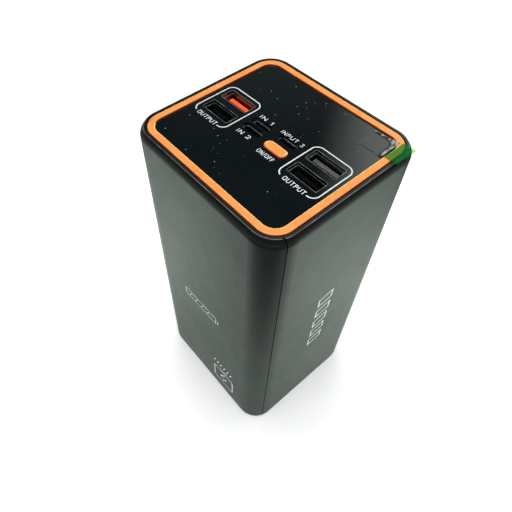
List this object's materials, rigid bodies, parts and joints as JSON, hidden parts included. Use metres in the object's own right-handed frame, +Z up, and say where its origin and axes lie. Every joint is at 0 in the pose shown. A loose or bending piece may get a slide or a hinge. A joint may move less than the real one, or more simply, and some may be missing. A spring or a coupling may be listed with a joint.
{
  "type": "power bank",
  "caption": "Upright rounded block battery pack with a recessed glossy top panel, an orange ring around it, USB sockets and a push button.",
  "frame": {"origin": "middle of the flat bottom face, which stands on the table", "axes": "+Z up, out of the socket face; -Y out of the front face (the broad face of the shallow cover); +X to the right as seen from the front"},
  "size_m": [0.075, 0.07, 0.1577],
  "materials": {
    "housing": "fine matt moulded texture, slightly satin",
    "ring_orange": "smooth satin orange",
    "button_orange": "smooth satin orange",
    "panel_black": "high gloss, nearly black",
    "deck_plastic": "moulded black",
    "adhesive": "black double-sided tape",
    "clear_film": "clear film with dust specks",
    "clear_tape": "clear, slightly hazy tape with wrinkles",
    "green_tab": "translucent green film",
    "socket_steel": "nickel-plated stamped steel",
    "tongue_orange": "orange-red moulded plastic",
    "tongue_grey": "grey moulded plastic",
    "socket_plastic": "black moulded plastic",
    "plunger_plastic": "black moulded plastic",
    "contact_brass": "gold-plated spring contacts",
    "circuit_board": "green solder mask",
    "chip_plastic": "black moulding compound",
    "inductor_core": "pressed grey ferrite",
    "capacitor_can": "satin can",
    "led_white": "clear lamp body",
    "clear_guide": "clear moulded guide",
    "screw_steel": "zinc-plated",
    "cell_pouch": "satin laminated foil",
    "tab_metal": "bright nickel-plated strip",
    "lead_red": "red silicone sleeve",
    "lead_black": "black silicone sleeve",
    "foam": "closed-cell foam sheet",
    "card": "dark insulating card"
  },
  "bodies": {
    "housing": {"accent_ring": "ring_orange", "base_pad": "foam", "battery_cell_1": "cell_pouch", "battery_cell_2": "cell_pouch", "battery_cell_3": "cell_pouch", "battery_cell_4": "cell_pouch", "battery_cell_5": "cell_pouch", "board_screws": "screw_steel", "cell_spacers": "foam", "chip_passives": "chip_plastic", "control_chip": "chip_plastic", "filter_capacitors": "capacitor_can", "front_cover": "housing", "indicator_leds": "led_white", "input_port_3_contacts": "contact_brass", "input_port_3_insulator": "socket_plastic", "input_port_3_shell": "socket_steel", "insulation_card": "card", "light_guide": "clear_guide", "main_board": "circuit_board", "micro_contacts": "contact_brass", "micro_shell": "socket_steel", "micro_tongue": "socket_plastic", "negative_lead": "lead_black", "negative_tabs": "tab_metal", "panel_adhesive": "adhesive", "positive_lead": "lead_red", "positive_tabs": "tab_metal", "power_chips": "chip_plastic", "power_inductors": "inductor_core", "protective_film": "clear_film", "pull_tab": "green_tab", "pull_tab_tape": "clear_tape", "rear_shell": "housing", "switch_body": "socket_plastic", "switch_cover": "socket_steel", "switch_dome": "socket_steel", "tab_board": "circuit_board", "top_deck": "deck_plastic", "top_panel": "panel_black", "type_c_contacts": "contact_brass", "type_c_shell": "socket_steel", "type_c_tongue": "socket_plastic", "usb_a_contacts_1": "contact_brass", "usb_a_contacts_2": "contact_brass", "usb_a_contacts_3": "contact_brass", "usb_a_contacts_4": "contact_brass", "usb_a_shell_1": "socket_steel", "usb_a_shell_2": "socket_steel", "usb_a_shell_3": "socket_steel", "usb_a_shell_4": "socket_steel", "usb_a_tongue_1": "tongue_orange", "usb_a_tongue_2": "tongue_grey", "usb_a_tongue_3": "socket_plastic", "usb_a_tongue_4": "socket_plastic"},
    "power_button": {"power_button": "button_orange"},
    "switch_plunger": {"switch_plunger": "plunger_plastic"}
  },
  "joints": [
    {"name": "button_press", "type": "slide", "parent": "housing", "child": "power_button", "axis": [0, 0, -1], "range_m": [0, 0.00035], "stiffness_N_per_m": 2000, "springref_m": -0.0002},
    {"name": "plunger_press", "type": "slide", "parent": "housing", "child": "switch_plunger", "axis": [0, 0, -1], "range_m": [0, 0.00035], "deforming": ["switch_dome"]}
  ],
  "couplings": [
    {"joint": "plunger_press", "follows": "button_press", "ratio": 1}
  ]
}
